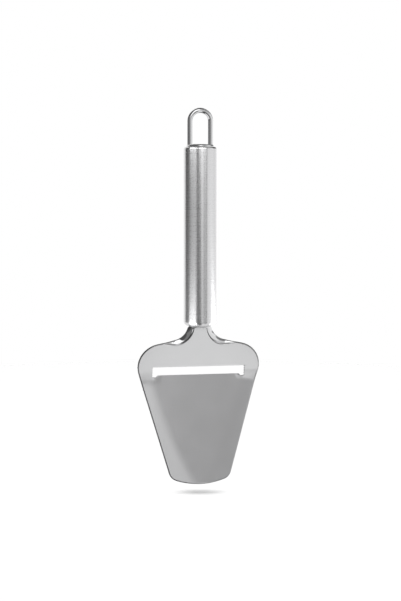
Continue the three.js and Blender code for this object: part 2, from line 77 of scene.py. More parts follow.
# Blade, measured across and along the sheet from the mouth of the handle
SHEET_THICKNESS = 1.2 * MM
PLATE_FRONT_Y = -2.3 * MM
BUTT_GAP = 0.3 * MM
TANG_WIDTH = 5 * MM
TANG_LENGTH = 20 * MM
TANG_CORNER = 1 * MM
NECK_BEND_START = 0.7 * MM
NECK_BEND_LENGTH = 1.6 * MM
NECK_LEAN = math.radians(13)
NECK_HALF = 6.9 * MM
NECK_LENGTH = 7 * MM
NECK_FILLET_RADIUS = 9.3 * MM
NECK_FLAT_HALF = 4.05 * MM
FOLD_RADIUS = 11.8 * MM
ROLL_START = 0.6 * MM
ROLL_WIDTH = 3.3 * MM
FLANGE_ANGLE_AT_NECK = math.radians(68)
FLANGE_ANGLE_AT_SHOULDER = math.radians(36)
SHOULDER_DROP = math.tan(math.radians(12))
SHOULDER_FILLET_RADIUS = 14.1 * MM
HALF_WIDTH_AT_LIP = 35.15 * MM
HALF_WIDTH_AT_TIP = 16.55 * MM
LIP_DISTANCE = 29.9 * MM
LOWER_PLATE_LENGTH = 64.1 * MM
TIP_RADIUS = 45 * MM
TIP_CORNER_RADIUS = 6.5 * MM
TIP_DISTANCE = LIP_DISTANCE + LOWER_PLATE_LENGTH
SIDE_SLOPE = (HALF_WIDTH_AT_LIP - HALF_WIDTH_AT_TIP) / LOWER_PLATE_LENGTH
SIDE_TAPER = math.atan(SIDE_SLOPE)

# Cutting slot, bend and margin of the lower plate
RAIL_WIDTH = 7.75 * MM
SLOT_HALF = HALF_WIDTH_AT_LIP - RAIL_WIDTH
SLOT_OPENING = 5.35 * MM
SLOT_CORNER_RADIUS = 0.8 * MM
NOTCH_WIDTH = 2.5 * MM
NOTCH_DEPTH = 1.4 * MM
LIP_HALF = SLOT_HALF - NOTCH_WIDTH
LIP_CORNER_RADIUS = 1.3 * MM
LIP_BLEND_WIDTH = 6 * MM
LIP_BEVEL_WIDTH = 2.6 * MM
LIP_EDGE_THICKNESS = 0.25 * MM
BEND_ANGLE = math.radians(19.5)
BEND_LENGTH = 9 * MM
BEND_START_ABOVE_LIP = 3 * MM
BEND_START = LIP_DISTANCE - BEND_START_ABOVE_LIP
BEND_END = BEND_START + BEND_LENGTH
MARGIN_WIDTH_AT_LIP = 8.4 * MM
MARGIN_WIDTH_AT_TIP = 16 * MM
MARGIN_FLARE = 2.5
MARGIN_ROLL = 6.5 * MM
MARGIN_SLOPE = math.tan(math.radians(3.1))
MARGIN_START_ABOVE_LIP = 1 * MM
MARGIN_START = LIP_DISTANCE - MARGIN_START_ABOVE_LIP
MARGIN_FADE = 9 * MM

# Each bend of the sheet's side line: start, length, turn towards the front
BENDS = [(NECK_BEND_START, NECK_BEND_LENGTH, -NECK_LEAN), (BEND_START, BEND_LENGTH, BEND_ANGLE)]

# Fineness of the finished meshes
ROUND_SEGMENTS = 160
WIRE_SIDES = 48
ARCH_POINTS = 40
EDGE_ROUND = 0.3 * MM
ROLL_OFF_WIDTH = 0.75 * MM
ROLL_OFF_DEPTH = 0.45 * MM
LIP_ROUND_SHARE = 0.4
ROUND_STEPS = 6
OUTLINE_STEP = 0.5 * MM
ARC_TURN = math.radians(5)
SLOPE_STEP = 0.01 * MM
TUBE_STEP = 2 * MM
SHARP_TURN = math.radians(40)

# Distances under which two points count as one
TURNED_WELD = FIT_GAP / 100
OUTLINE_WELD = OUTLINE_STEP / 20
SHEET_WELD = SLOPE_STEP / 100

# Spacing of the points inside the sheet: in the neck, above the bend's end and on the lower plate
NECK_SPACING = 0.3 * MM
NECK_SPACING_END = 13 * MM
UPPER_SPACING = 0.8 * MM
UPPER_SPACING_END = BEND_END + 2 * MM
LOWER_SPACING = 1.4 * MM
OUTER_SPACING = 0.9 * MM
OUTER_PART = 20 * MM
SPACING_FROM_TANG_END = 1 * MM
SPACING_PAST_SIDE = 2 * MM
ROW_SHARE = 0.87
CLEAR_OF_OUTLINE = 0.6

# How far an edge turns outwards before it shows the shear marks and its painted dark outline, and where
# they are full
SHEAR_AND_PAINTED_OUTLINE_START = 0.12
SHEAR_AND_PAINTED_OUTLINE_FULL = 0.6

# Spread of the noise in the finishes
NOISE_LOW, NOISE_HIGH = 0.3, 0.7
TINT_LOW, TINT_HIGH = 0.25, 0.75
BLUE_TINT = 1.01

# Camera, fitted to the photograph's outline
PHOTO_LONG_SIDE = 601
CAMERA_TARGET = Vector((0, 0, -108 * MM))
CAMERA_DISTANCE = 700 * MM
CAMERA_AZIMUTH = math.radians(-10.94)
CAMERA_ELEVATION = math.radians(5.233)
CAMERA_ROLL = math.radians(0.08)
CAMERA_LENS = 72.41
CAMERA_SENSOR = 36
OFF_CENTRE_RIGHT = -0.54 / PHOTO_LONG_SIDE
OFF_CENTRE_DOWN = 1.1 / PHOTO_LONG_SIDE

# Studio
FLOOR_DROP = 5.2 * MM
FLOOR_RADIUS = 0.55
FLOOR_GREY = 0.5
FLOOR_SIDES = 96
TENT_BRIGHTNESS = 1.15

# Cards and gaps in the white tent: left and right edge in degrees to the right of the front,
# lower and upper edge in degrees above the horizon, softness of the sides and of the ends, brightness
CARDS = [
    (-200, 200, 60, 100, 8, 8, 0.12),
    (-135, -22, -10, 62, 5, 8, 0.11),
    (-128, -97, -12, 20, 6, 10, 0.06),
    (-82, -20, -2, 27, 8, 8, 0.27),
    (-24, -5, -1, 17, 5, 6, 0.2),
    (-34, 1, -75, 1, 8, 8, 0.06),
    (-2, 5.5, -60, -7, 6, 5, 0.25),
    (5, 40, -28, 42, 6, 5, 0.9),
    (5, 23.5, -10, 11, 5, 5, 0.465),
    (-21, 13.5, 12.5, 48, 5, 4, 1.9),
    (-1, 6, -9, 9, 4, 4, 1.0),
    (11.5, 17, -27, -11, 3, 4, 1.35),
    (16.6, 42, -31, -13, 1.5, 4, 0.03),
    (31, 41, -14, 4, 4, 8, 0.35),
    (47, 82, -60, 60, 8, 12, 1.1),
    (10.5, 90, 31, 60, 4, 5, 0.28),
    (82, 135, -2, 60, 8, 10, 1.2),
    (82, 135, -60, -4, 8, 10, 0.95),
    (100, 185, 12, 58, 10, 8, 0.1),
]

# Lights for the handle alone: degrees to the right of the front, degrees above the horizon,
# height of the place they point at, power
HANDLE_LIGHTS = [
    (-62, 30, TUBE_REAR_Z, 0.1),
    (5, 30, TUBE_REAR_Z, 0.062),
    (-66, -30, MOUTH_Z, 0.13),
    (105, -25, MOUTH_Z, 0.2),
]
HANDLE_LIGHT_DISTANCE = 0.12
HANDLE_LIGHT_SIZE = (0.11, 0.08)

# Light from straight above, and the card above the frame whose soft shadow lies under the tip
FLOOR_LIGHT_HEIGHT = 8
FLOOR_LIGHT_SIZE = (0.32, 0.155)
FLOOR_LIGHT_POWER = 1280
SHADOW_CARD_HEIGHT = 0.52
SHADOW_CARD_RADII = (6.8 * MM, 3.3 * MM)
SHADOW_CARD_SIDES = 48


# Node trees

def add(tree, kind, inputs=None, **settings):
    """A node with its settings, whose inputs are values or the sockets that feed them."""
    node = tree.nodes.new(kind)
    for name, value in settings.items():
        setattr(node, name, value)
    for name, value in (inputs or {}).items():
        if isinstance(value, bpy.types.NodeSocket):
            tree.links.new(value, node.inputs[name])
        else:
            node.inputs[name].default_value = value
    return node


def calc(tree, operation, *values):
    """The result of a Math node."""
    return add(tree, "ShaderNodeMath", dict(enumerate(values)), operation=operation).outputs[0]


def remap(tree, value, low, high, to_low, to_high):
    """A value moved smoothly from one range to another."""
    return add(tree, "ShaderNodeMapRange", {
        "Value": value, "From Min": low, "From Max": high, "To Min": to_low, "To Max": to_high,
    }, interpolation_type="SMOOTHSTEP").outputs["Result"]


# Geometry trees

def geometry_tree(name, sizes):
    """A tree with a mesh input, the named sizes, and a finish that its mesh gets."""
    tree = bpy.data.node_groups.new(name, "GeometryNodeTree")
    tree.interface.new_socket("Geometry", in_out="INPUT", socket_type="NodeSocketGeometry")
    for label, kind in sizes:
        tree.interface.new_socket(label, in_out="INPUT", socket_type=kind)
    tree.interface.new_socket("Finish", in_out="INPUT", socket_type="NodeSocketMaterial")
    tree.interface.new_socket("Geometry", in_out="OUTPUT", socket_type="NodeSocketGeometry")
    return tree, add(tree, "NodeGroupInput").outputs


def close_tree(tree, geometry, finish):
    """Ends a tree: real geometry, shaded smooth, with its finish."""
    smooth = add(tree, "GeometryNodeSetShadeSmooth", {"Geometry": geometry})
    real = add(tree, "GeometryNodeRealizeInstances", {"Geometry": smooth.outputs[0]})
    done = add(tree, "GeometryNodeSetMaterial", {"Geometry": real.outputs[0], "Material": finish})
    add(tree, "NodeGroupOutput", {"Geometry": done.outputs[0]})
    return tree


def turned_tree():
    """Turns a profile of radius and height once round the handle's axis."""
    tree, sizes = geometry_tree("turned_about_the_axis", [
        ("Path radius", "NodeSocketFloat"), ("Segments", "NodeSocketInt"), ("Weld", "NodeSocketFloat")])
    circle = add(tree, "GeometryNodeCurvePrimitiveCircle", {
        "Resolution": sizes["Segments"], "Radius": sizes["Path radius"]})
    path = add(tree, "GeometryNodeSetCurveNormal", {"Curve": circle.outputs["Curve"]}, mode="Z_UP")
    profile = add(tree, "GeometryNodeMeshToCurve", {"Mesh": sizes["Geometry"]})
    swept = add(tree, "GeometryNodeCurveToMesh", {
        "Curve": path.outputs[0], "Profile Curve": profile.outputs[0]})
    welded = add(tree, "GeometryNodeMergeByDistance", {
        "Geometry": swept.outputs[0], "Distance": sizes["Weld"]})
    return close_tree(tree, welded.outputs[0], sizes["Finish"])


def wire_tree():
    """Bends a round wire into an arch with two straight legs."""
    tree, sizes = geometry_tree("bent_wire", [
        ("Wire radius", "NodeSocketFloat"), ("Bend radius", "NodeSocketFloat"),
        ("Arch top", "NodeSocketFloat"), ("Leg end", "NodeSocketFloat"),
        ("Sides", "NodeSocketInt"), ("Arch points", "NodeSocketInt")])
    bend = sizes["Bend radius"]
    left = calc(tree, "MULTIPLY", bend, -1.0)
    centre_top = calc(tree, "SUBTRACT", sizes["Arch top"], sizes["Wire radius"])
    leg_end = sizes["Leg end"]
    corners = [(left, leg_end), (left, centre_top), (bend, centre_top), (bend, leg_end)]
    line = add(tree, "GeometryNodeMeshLine", {"Count": len(corners)})
    switch = add(tree, "GeometryNodeIndexSwitch", data_type="VECTOR")
    while len(switch.index_switch_items) < len(corners):
        switch.index_switch_items.new()
    tree.links.new(add(tree, "GeometryNodeInputIndex").outputs[0], switch.inputs["Index"])
    for number, (x, z) in enumerate(corners):
        corner = add(tree, "ShaderNodeCombineXYZ", {"X": x, "Z": z})
        tree.links.new(corner.outputs[0], switch.inputs[number + 1])
    placed = add(tree, "GeometryNodeSetPosition", {
        "Geometry": line.outputs[0], "Position": switch.outputs[0]})
    route = add(tree, "GeometryNodeMeshToCurve", {"Mesh": placed.outputs[0]})
    arch = add(tree, "GeometryNodeFilletCurve", {
        "Curve": route.outputs[0], "Count": sizes["Arch points"], "Radius": bend, "Limit Radius": True,
    }, mode="POLY")
    section = add(tree, "GeometryNodeCurvePrimitiveCircle", {
        "Resolution": sizes["Sides"], "Radius": sizes["Wire radius"]})
    swept = add(tree, "GeometryNodeCurveToMesh", {
        "Curve": arch.outputs[0], "Profile Curve": section.outputs["Curve"], "Fill Caps": True})
    return close_tree(tree, swept.outputs[0], sizes["Finish"])


def grown(name, mesh, tree, sizes):
    """The object that a tree makes from a mesh, with its modifier turned into a plain mesh."""
    piece = bpy.data.objects.new(name, mesh)
    bpy.context.scene.collection.objects.link(piece)
    modifier = piece.modifiers.new("shape", "NODES")
    modifier.node_group = tree
    items = tree.interface.items_tree
    sockets = {item.name: item.identifier for item in items if item.in_out == "INPUT"}
    for label, value in sizes.items():
        modifier[sockets[label]] = value
    return made_plain(piece)


def made_plain(piece):
    """Turns the result of a piece's modifiers into its own mesh, with its faces pointing outwards."""
    evaluated = piece.evaluated_get(bpy.context.evaluated_depsgraph_get())
    mesh = bpy.data.meshes.new_from_object(evaluated)
    piece.modifiers.clear()
    piece.data = mesh
    shape = bmesh.new()
    shape.from_mesh(mesh)
    bmesh.ops.recalc_face_normals(shape, faces=shape.faces)
    shape.to_mesh(mesh)
    shape.free()
    mesh.name = piece.name
    return piece


def standing_for(piece, node):
    """A finished piece takes the place of its solid."""
    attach(piece, "root")
    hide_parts(node)
    return piece


# Handle and discs

def arc(centre, radius, start, end):
    """Points of an arc, from one angle to the other."""
    count = max(2, math.ceil(abs(end - start) / ARC_TURN))
    turns = [start + (end - start) * i / count for i in range(count + 1)]
    return [Vector((centre[0] + radius * math.cos(t), centre[1] + radius * math.sin(t))) for t in turns]


def line(start, end, step):
    """Points along a straight stretch, without its ends."""
    start, end = Vector(start), Vector(end)
    count = max(1, math.ceil((end - start).length / step))
    return [start.lerp(end, i / count) for i in range(1, count)]


def turned(name, profile, closed, finish):
    """A piece turned from points of radius and height."""
    mesh = bpy.data.meshes.new(name)
    edges = [(i, i + 1) for i in range(len(profile) - 1)]
    if closed:
        edges.append((len(profile) - 1, 0))
    mesh.from_pydata([(r - TUBE_RADIUS, -z, 0) for r, z in profile], edges, [])
    return grown(name, mesh, TURNED_TREE, {
        "Path radius": TUBE_RADIUS, "Segments": ROUND_SEGMENTS, "Weld": TURNED_WELD, "Finish": finish})


def handle_tube(finish):
    """Thin tube whose two ends are rolled inwards over the skirts of the discs."""
    rear_lip = TUBE_RADIUS - REAR_ROLL_RADIUS
    front_lip = TUBE_RADIUS - FRONT_ROLL_RADIUS
    rear_roll = (rear_lip, TUBE_REAR_Z - REAR_ROLL_RADIUS)
    front_roll = (front_lip, MOUTH_Z + FRONT_ROLL_RADIUS)
    outside = arc(front_roll, FRONT_ROLL_RADIUS, -QUARTER, 0)
    outside += line((TUBE_RADIUS, front_roll[1]), (TUBE_RADIUS, rear_roll[1]), TUBE_STEP)
    outside += arc(rear_roll, REAR_ROLL_RADIUS, 0, QUARTER)
    inside = arc(rear_roll, REAR_ROLL_RADIUS - TUBE_WALL, QUARTER, 0)
    inside += arc(front_roll, FRONT_ROLL_RADIUS - TUBE_WALL, 0, -QUARTER)
    rear_edge = arc((rear_lip, TUBE_REAR_Z - TUBE_WALL / 2), TUBE_WALL / 2, QUARTER, 3 * QUARTER)
    front_edge = arc((front_lip, MOUTH_Z + TUBE_WALL / 2), TUBE_WALL / 2, QUARTER, 3 * QUARTER)
    profile = outside[1:-1] + squeezed(rear_edge, rear_lip)
    profile += inside[1:-1] + squeezed(front_edge, front_lip)
    piece = turned("satin_handle", profile, True, finish)
    return standing_for(piece, "handle_tube")


def squeezed(edge, lip):
    """A rolled edge made flatter, so that it keeps its clearance to the disc."""
    flatness = LIP_ROUND / (TUBE_WALL / 2)
    return [Vector((lip + (p.x - lip) * flatness, p.y)) for p in edge]


def disc_profile(round_radius, proud, edge):
    """Half section of an end disc, with heights measured outwards from the tube's end."""
    roll = round_radius + FIT_GAP + TUBE_WALL
    lip = TUBE_RADIUS - roll
    face = lip - FIT_GAP - LIP_ROUND
    skirt = BORE_RADIUS - FIT_GAP
    bottom = -roll - DISC_SKIRT
    seat = -TUBE_WALL - FIT_GAP
    profile = [Vector((0, bottom)), Vector((skirt - EDGE_ROUND, bottom))]
    profile += arc((skirt - EDGE_ROUND, bottom + EDGE_ROUND), EDGE_ROUND, -QUARTER, 0)[1:]
    profile += arc((lip, -roll), round_radius, 0, QUARTER)
    profile += [Vector((face + EDGE_ROUND, seat))]
    profile += arc((face + EDGE_ROUND, seat + EDGE_ROUND), EDGE_ROUND, 3 * QUARTER, 2 * QUARTER)[1:]
    profile += arc((face - edge, proud - edge), edge, 0, QUARTER)
    profile += [Vector((face - edge - EDGE_ROUND, proud)), Vector((0, proud))]
    return profile


def cut(piece, cutter):
    """Takes one solid out of another."""
    modifier = piece.modifiers.new("cut", "BOOLEAN")
    modifier.operation = "DIFFERENCE"
    modifier.solver = "EXACT"
    modifier.object = cutter
    made_plain(piece)
    bpy.data.objects.remove(cutter)


def sharpened(piece):
    """Shades a piece smooth, apart from its sharp edges."""
    piece.data.shade_smooth()
    piece.data.set_sharp_from_angle(angle=SHARP_TURN)
    return piece


def object_from(shape, name):
    """A shape as an object of its own, for a cut or for the studio."""
    mesh = bpy.data.meshes.new(name)
    shape.to_mesh(mesh)
    shape.free()
    made = bpy.data.objects.new(name, mesh)
    bpy.context.scene.collection.objects.link(made)
    return made


def rear_disc(finish):
    """Domed disc that closes the rear of the handle, with a hole for each leg of the loop."""
    profile = disc_profile(REAR_DISC_ROUND, REAR_DISC_PROUD, REAR_DISC_EDGE)
    piece = turned("rear_end_disc", [(p.x, TUBE_REAR_Z + p.y) for p in profile], False, finish)
    for side in (-1, 1):
        shape = bmesh.new()
        place = Matrix.Translation((side * LOOP_BEND_RADIUS, 0, TUBE_REAR_Z))
        bmesh.ops.create_cone(
            shape, cap_ends=True, segments=WIRE_SIDES, radius1=LEG_HOLE_RADIUS, radius2=LEG_HOLE_RADIUS,
            depth=4 * DISC_SKIRT, matrix=place)
        cut(piece, object_from(shape, "leg_hole"))
    return standing_for(sharpened(piece), "rear_disc")


def front_disc(finish):
    """Disc that closes the front of the handle, with a slit for the tang."""
    profile = disc_profile(FRONT_DISC_ROUND, 0, FRONT_DISC_EDGE)
    piece = turned("front_end_disc", [(p.x, MOUTH_Z - p.y) for p in profile], False, finish)
    shape = bmesh.new()
    size = (TANG_WIDTH + 2 * FIT_GAP, SHEET_THICKNESS + 2 * FIT_GAP, TANG_LENGTH, 1)
    place = Matrix.Translation((0, PLATE_FRONT_Y + SHEET_THICKNESS / 2, MOUTH_Z))
    bmesh.ops.create_cube(shape, size=1, matrix=place @ Matrix.Diagonal(size))
    cut(piece, object_from(shape, "tang_slit"))
    return standing_for(sharpened(piece), "front_disc")


def hanging_loop(finish):
    """Round wire bent into the loop that the slicer hangs by."""
    piece = grown("wire_loop", bpy.data.meshes.new("wire_loop"), WIRE_TREE, {
        "Wire radius": WIRE_RADIUS, "Bend radius": LOOP_BEND_RADIUS,
        "Arch top": LOOP_HIGH.z, "Leg end": LOOP_LOW.z,
        "Sides": WIRE_SIDES, "Arch points": ARCH_POINTS, "Finish": finish})
    return standing_for(sharpened(piece), "hanging_loop")


# Blade: the shape of the pressed sheet

def clamp(value, low=0.0, high=1.0):
    """A value kept between two limits."""
    return min(max(value, low), high)


def smoothstep(value, low, high):
    """A soft rise from 0 to 1 between two values."""
    share = clamp((value - low) / (high - low))
    return share * share * (3 - 2 * share)


def side_at(distance):
    """Half width of the blade along its straight tapering sides."""
    return HALF_WIDTH_AT_LIP - (distance - LIP_DISTANCE) * SIDE_SLOPE


def flange_past_fold(x, distance):
    """How far a point lies past the fold of the neck's flange, and the flange's slope there."""
    centre = NECK_FLAT_HALF + FOLD_RADIUS
    across = centre - abs(x)
    share = clamp(math.atan2(max(distance, 0), across) / QUARTER)
    slope = math.tan(FLANGE_ANGLE_AT_NECK + (FLANGE_ANGLE_AT_SHOULDER - FLANGE_ANGLE_AT_NECK) * share)
    past = FOLD_RADIUS - (math.hypot(across, distance) if distance > 0 else across)
    return past, slope


def flange_set_back(x, distance):
    """The flange rolls over evenly from the flat of the neck to its rim."""
    past, slope = flange_past_fold(x, distance)
    rolled = clamp(past + ROLL_START, 0, ROLL_WIDTH)
    straight = max(past + ROLL_START - ROLL_WIDTH, 0)
    return slope * (rolled ** 2 / (2 * ROLL_WIDTH) + straight)


def lip_set_back(x, distance):
    """The lip runs straight up from the lower plate, while the rails beside it follow the bend."""
    if distance >= BEND_END:
        return 0.0
    on_lip = 1 - smoothstep(abs(x), SLOT_HALF - LIP_BLEND_WIDTH, SLOT_HALF)
    fade = clamp((distance - LIP_DISTANCE + SLOT_OPENING) / SLOT_OPENING)
    rise = BEND_END - max(distance, LIP_DISTANCE)
    return on_lip * fade * rise ** 2 * BEND_ANGLE / (2 * BEND_LENGTH)


def margin_set_back(x, distance):
    """The side margins of the lower plate are turned a little to the back, more widely at the tip."""
    fade = smoothstep(distance, MARGIN_START, MARGIN_START + MARGIN_FADE)
    share = clamp((distance - LIP_DISTANCE) / LOWER_PLATE_LENGTH)
    flare = share ** MARGIN_FLARE
    width = MARGIN_WIDTH_AT_LIP + (MARGIN_WIDTH_AT_TIP - MARGIN_WIDTH_AT_LIP) * flare
    reach = max(width - (side_at(distance) - abs(x)) * math.cos(SIDE_TAPER), 0)
    rolled = min(reach, MARGIN_ROLL)
    return fade * MARGIN_SLOPE * (rolled ** 2 / (2 * MARGIN_ROLL) + reach - rolled)


def side_line(distance):
    """Place of the sheet's face seen from the side, and how far it leans to the front there."""
    angle, travelled = 0.0, 0.0
    y, z = PLATE_FRONT_Y, MOUTH_Z
    if distance < 0:
        return y, z - distance, 0.0
    for start, length, turn in BENDS:
        straight = clamp(distance, travelled, start) - travelled
        y -= straight * math.sin(angle)
        z -= straight * math.cos(angle)
        after = angle + turn * clamp((distance - start) / length)
        y += length / turn * (math.cos(after) - math.cos(angle))
        z -= length / turn * (math.sin(after) - math.sin(angle))
        angle, travelled = after, start + length
    straight = max(distance - travelled, 0)
    return y - straight * math.sin(angle), z - straight * math.cos(angle), angle


def face_point(x, distance):
    """Point of the sheet's face."""
    y, z, angle = side_line(distance)
    back = flange_set_back(x, distance) + lip_set_back(x, distance) + margin_set_back(x, distance)
    return Vector((x, y + back * math.cos(angle), z - back * math.sin(angle)))


def face_normal(x, distance):
    """Direction straight out of the sheet's face."""
    across = face_point(x + SLOPE_STEP, distance) - face_point(x - SLOPE_STEP, distance)
    down = face_point(x, distance + SLOPE_STEP) - face_point(x, distance - SLOPE_STEP)
    return down.cross(across).normalized()


def thickness(x, distance):
    """Thickness of the sheet, ground down from the back towards the lip."""
    ground = clamp((distance - LIP_DISTANCE) / LIP_BEVEL_WIDTH)
    off_lip = smoothstep(abs(x), LIP_HALF - LIP_CORNER_RADIUS, LIP_HALF + NOTCH_WIDTH)
    if distance < LIP_DISTANCE - SLOT_OPENING / 2:
        return SHEET_THICKNESS
    thin = LIP_EDGE_THICKNESS + (SHEET_THICKNESS - LIP_EDGE_THICKNESS) * ground
    return thin + (SHEET_THICKNESS - thin) * off_lip


# Blade: outlines in the flat sheet, and the mesh

def fillet(start, corner, end, radius):
    """Centre and ends of the round between two straight lines."""
    to_start, to_end = (start - corner), (end - corner)
    half = to_start.angle(to_end) / 2
    reach = radius / math.tan(half)
    middle = (to_start.normalized() + to_end.normalized()).normalized()
    centre = corner + middle * (radius / math.sin(half))
    return centre, corner + to_start.normalized() * reach, corner + to_end.normalized() * reach


def angle_of(point, centre):
    """Direction of a point as seen from a centre."""
    return math.atan2(point.y - centre.y, point.x - centre.x)


def round_between(found, radius):
    """Points of a fillet, the short way round."""
    centre, start, end = found
    first, last = angle_of(start, centre), angle_of(end, centre)
    last += 2 * math.pi * round((first - last) / (2 * math.pi))
    return arc(centre, radius, first, last)


def joined(stretches):
    """Stretches of an outline joined by straight lines."""
    points = []
    for stretch in stretches:
        if points:
            points += line(points[-1], stretch[0], OUTLINE_STEP)
        points += stretch
    return without_repeats(points)


def half_outline():
    """Right half of the blade's outline, from the tang's top to the tip, as across and distance."""
    neck = Vector((NECK_HALF, NECK_LENGTH))
    above = Vector((NECK_HALF, NECK_LENGTH - 2 * NECK_FILLET_RADIUS))
    rise = LIP_DISTANCE - NECK_LENGTH + SHOULDER_DROP * NECK_HALF
    top_share = HALF_WIDTH_AT_LIP + SIDE_SLOPE * rise
    shoulder_x = top_share / (1 + SIDE_SLOPE * SHOULDER_DROP)
    shoulder = Vector((shoulder_x, NECK_LENGTH + SHOULDER_DROP * (shoulder_x - NECK_HALF)))
    below = Vector((side_at(TIP_DISTANCE), TIP_DISTANCE))
    neck_round = round_between(fillet(above, neck, shoulder, NECK_FILLET_RADIUS), NECK_FILLET_RADIUS)
    shoulder_round = round_between(
        fillet(neck, shoulder, below, SHOULDER_FILLET_RADIUS), SHOULDER_FILLET_RADIUS)
    tip_corner, tip_arc = tip_rounds()
    neck_round = [p for p in neck_round if p.y > BUTT_GAP + TANG_CORNER / 2]
    tang = [Vector((0, -TANG_LENGTH))]
    tang += arc((TANG_WIDTH / 2 - TANG_CORNER, TANG_CORNER - TANG_LENGTH), TANG_CORNER, -QUARTER, 0)
    tang += [Vector((TANG_WIDTH / 2, BUTT_GAP)), Vector((NECK_HALF - BUTT_GAP, BUTT_GAP))]
    return joined([tang, neck_round, shoulder_round, tip_corner, tip_arc])


def tip_rounds():
    """Rounded corner beside the tip, and half of the tip's shallow arc."""
    centre = TIP_DISTANCE - TIP_RADIUS
    inset = side_at(centre) - TIP_CORNER_RADIUS / math.cos(SIDE_TAPER)
    reach = TIP_RADIUS - TIP_CORNER_RADIUS
    square = 1 + SIDE_SLOPE ** 2
    past = (inset * SIDE_SLOPE + math.sqrt(reach ** 2 * square - inset ** 2)) / square
    corner = (inset - past * SIDE_SLOPE, centre + past)
    turn = math.atan2(past, corner[0])
    count = math.ceil(TIP_RADIUS * (QUARTER - turn) / OUTLINE_STEP)
    turns = [turn + (QUARTER - turn) * i / count for i in range(count + 1)]
    tip_arc = [Vector((TIP_RADIUS * math.cos(t), centre + TIP_RADIUS * math.sin(t))) for t in turns]
    return arc(corner, TIP_CORNER_RADIUS, SIDE_TAPER, turn), tip_arc


def without_repeats(points):
    """Leaves out points that fall on the one before."""
    kept = points[:1]
    for point in points[1:]:
        if (point - kept[-1]).length > OUTLINE_WELD:
            kept.append(point)
    return kept


def mirrored(half):
    """A closed outline from its right half, whose ends lie on the middle line."""
    return half + [Vector((-p.x, p.y)) for p in reversed(half[1:-1])]


def slot_outline():
    """Outline of the cutting slot: a long opening with a relief notch at each end of the lip."""
    top = LIP_DISTANCE - SLOT_OPENING
    floor = LIP_DISTANCE + NOTCH_DEPTH
    corner, ease = SLOT_CORNER_RADIUS, LIP_CORNER_RADIUS
    half = joined([
        [Vector((0, top))],
        arc((SLOT_HALF - corner, top + corner), corner, -QUARTER, 0),
        arc((SLOT_HALF - corner, floor - corner), corner, 0, QUARTER),
        [Vector((LIP_HALF, floor))],
        arc((LIP_HALF - ease, LIP_DISTANCE + ease), ease, 0, -QUARTER),
        [Vector((0, LIP_DISTANCE))],
    ])
    return mirrored(half)


def inwards(outline, into_metal):
    """Direction from each point of an outline into the metal, in the flat sheet."""
    found = []
    for i, point in enumerate(outline):
        before = (point - outline[i - 1]).normalized()
        after = (outline[(i + 1) % len(outline)] - point).normalized()
        along = before + after
        found.append(Vector((-along.y, along.x)).normalized() * into_metal)
    return found


def spacing_at(distance):
    """Spacing of the points inside the sheet."""
    if 0 < distance < NECK_SPACING_END:
        return NECK_SPACING
    return UPPER_SPACING if distance < UPPER_SPACING_END else LOWER_SPACING


def points_inside(outlines):
    """Points inside the sheet, closer together in the neck and at the bend."""
    near = kdtree.KDTree(sum(len(o) for o in outlines))
    for number, point in enumerate(p for o in outlines for p in o):
        near.insert((point.x, point.y, 0), number)
    near.balance()
    points = []
    distance, row = -TANG_LENGTH + SPACING_FROM_TANG_END, 0
    while distance < TIP_DISTANCE:
        fine = spacing_at(distance)
        x = (row % 2) * fine / 2
        while x < HALF_WIDTH_AT_LIP + SPACING_PAST_SIDE:
            if near.find((x, distance, 0))[2] > CLEAR_OF_OUTLINE * fine:
                points += [Vector((x, distance))] + ([Vector((-x, distance))] if x > 0 else [])
            x += fine if x < OUTER_PART else max(fine, OUTER_SPACING)
        distance += fine * ROW_SHARE
        row += 1
    return points


def inside(point, outline):
    """Whether a point lies inside a closed outline."""
    odd = False
    for i, end in enumerate(outline):
        start = outline[i - 1]
        if (start.y > point.y) != (end.y > point.y):
            if point.x < start.x + (point.y - start.y) / (end.y - start.y) * (end.x - start.x):
                odd = not odd
    return odd


class Sheet:
    """Gathers the points, outward directions and faces of the blade."""

    def __init__(self):
        """Starts with nothing in it."""
        self.points, self.normals, self.faces = [], [], []
        self.polish, self.shear_marks_and_painted_outline = [], []

    def add(self, point, normal, polish, shear_marks_and_painted_outline=0.0):
        """Adds a point and gives its number."""
        self.points.append(point)
        self.normals.append(normal)
        self.polish.append(polish)
        self.shear_marks_and_painted_outline.append(shear_marks_and_painted_outline)
        return len(self.points) - 1


def polish_at(x, distance):
    """How far the flanges of the neck are polished: 1 on a flange, 0 on the plates."""
    past, _ = flange_past_fold(x, distance)
    return smoothstep(past, -ROLL_START, ROLL_START)


def back_point(x, distance):
    """Point of the sheet's back."""
    return face_point(x, distance) - face_normal(x, distance) * thickness(x, distance)


def back_normal(x, distance):
    """Direction straight out of the sheet's back, which slopes where the lip is ground."""
    by_lip = LIP_DISTANCE - SLOT_OPENING < distance < LIP_DISTANCE + 2 * LIP_BEVEL_WIDTH
    if abs(x) > SLOT_HALF or not by_lip:
        return -face_normal(x, distance)
    across = back_point(x + SLOPE_STEP, distance) - back_point(x - SLOPE_STEP, distance)
    down = back_point(x, distance + SLOPE_STEP) - back_point(x, distance - SLOPE_STEP)
    return across.cross(down).normalized()


